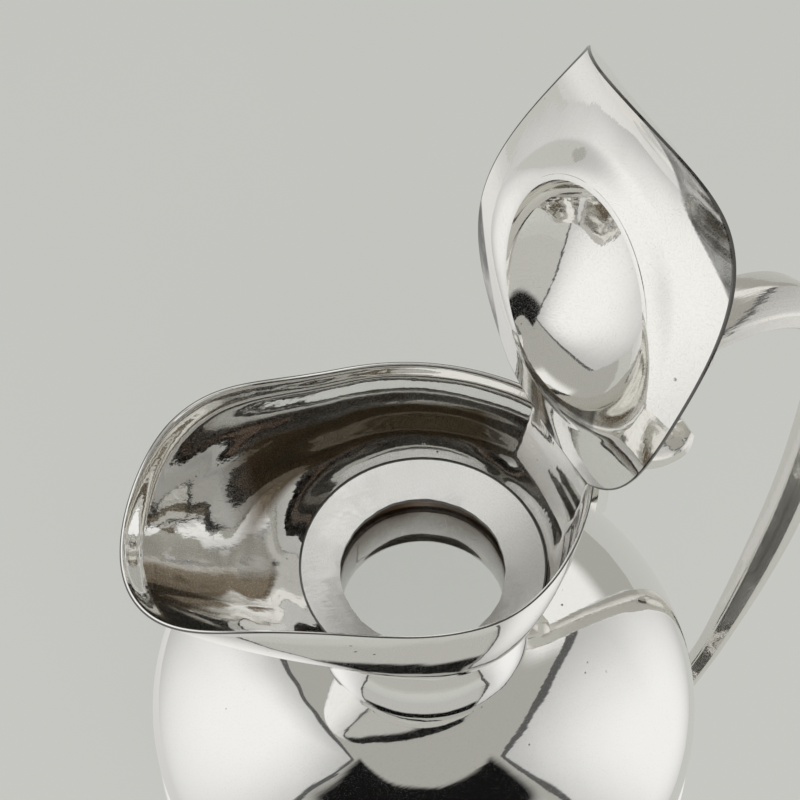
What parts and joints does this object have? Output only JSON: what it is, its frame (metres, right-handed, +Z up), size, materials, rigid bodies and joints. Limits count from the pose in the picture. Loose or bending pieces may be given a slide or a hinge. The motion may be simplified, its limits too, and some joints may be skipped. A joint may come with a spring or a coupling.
{
  "type": "claret jug",
  "caption": "Claret jug with a glass body in silver-plated mounts, a wide helmet-shaped pouring cup, a domed hinged lid and a strap handle.",
  "frame": {"origin": "on the body's axis, at the face the jug stands on", "axes": "+Z up along the body's axis; the spout points to -X and the handle to +X"},
  "size_m": [0.1662, 0.1284, 0.334],
  "materials": {
    "silver_plate": "polished",
    "clear_glass": "polished",
    "pin_brass": "satin",
    "bedding_plaster": "matt"
  },
  "bodies": {
    "jug": {"glass_body": "clear_glass", "shoulder_plaster": "bedding_plaster", "base_plaster": "bedding_plaster", "hinge_pin": "pin_brass", "shoulder_mount": "silver_plate", "neck_collar": "silver_plate", "shoulder_border": "silver_plate", "neck_ring": "silver_plate", "cup": "silver_plate", "cup_hinge": "silver_plate", "handle_bracket": "silver_plate", "handle": "silver_plate", "handle_scroll": "silver_plate", "handle_bead": "silver_plate", "handle_socket": "silver_plate", "base_cup": "silver_plate", "base_border": "silver_plate", "foot": "silver_plate", "foot_wire": "silver_plate"},
    "lid": {"lid": "silver_plate", "lid_hinge": "silver_plate"}
  },
  "joints": [
    {"name": "lid_turn", "type": "hinge", "parent": "jug", "child": "lid", "pos_m": [0.0303, 0, 0.2458], "axis": [0, 1, 0], "range_deg": [-86, 0]}
  ]
}
